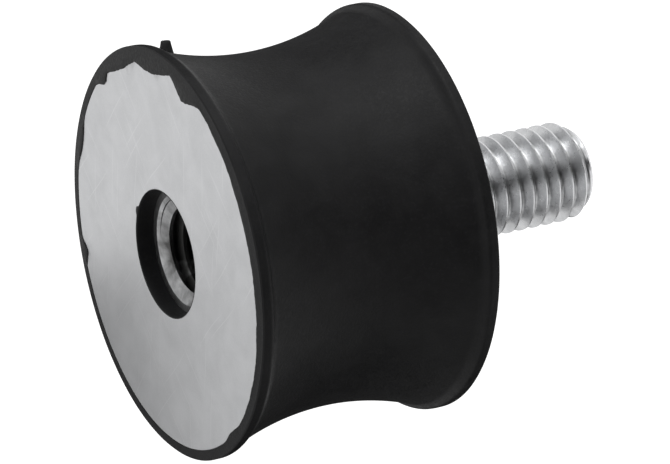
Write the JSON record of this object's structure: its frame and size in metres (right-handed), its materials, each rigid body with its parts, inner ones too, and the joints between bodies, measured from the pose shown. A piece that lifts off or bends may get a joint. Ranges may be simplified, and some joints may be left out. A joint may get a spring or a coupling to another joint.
{
  "type": "bobbin vibration mount",
  "caption": "Waisted rubber bobbin mount bonded between steel end plates, with a threaded stud on one face and a recessed blind threaded bush in the other.",
  "frame": {"origin": "centre of the male end plate's outer face, where the stud leaves it", "axes": "+Z along the mount's axis towards the female end; the stud points along -Z; the moulding pip is on the +X side beside the female lip"},
  "size_m": [0.04, 0.04, 0.045],
  "materials": {
    "rubber": "moulded, matt, fine grain",
    "zinc_plate": "zinc plated, satin",
    "zinc_stud": "zinc plated, bright rolled thread",
    "zinc_bush": "zinc plated, turned and tapped"
  },
  "bodies": {
    "root": {"rubber_body": "rubber", "female_end_plate": "zinc_plate", "male_end_plate": "zinc_plate", "threaded_bush": "zinc_bush", "stud": "zinc_stud"}
  },
  "joints": []
}
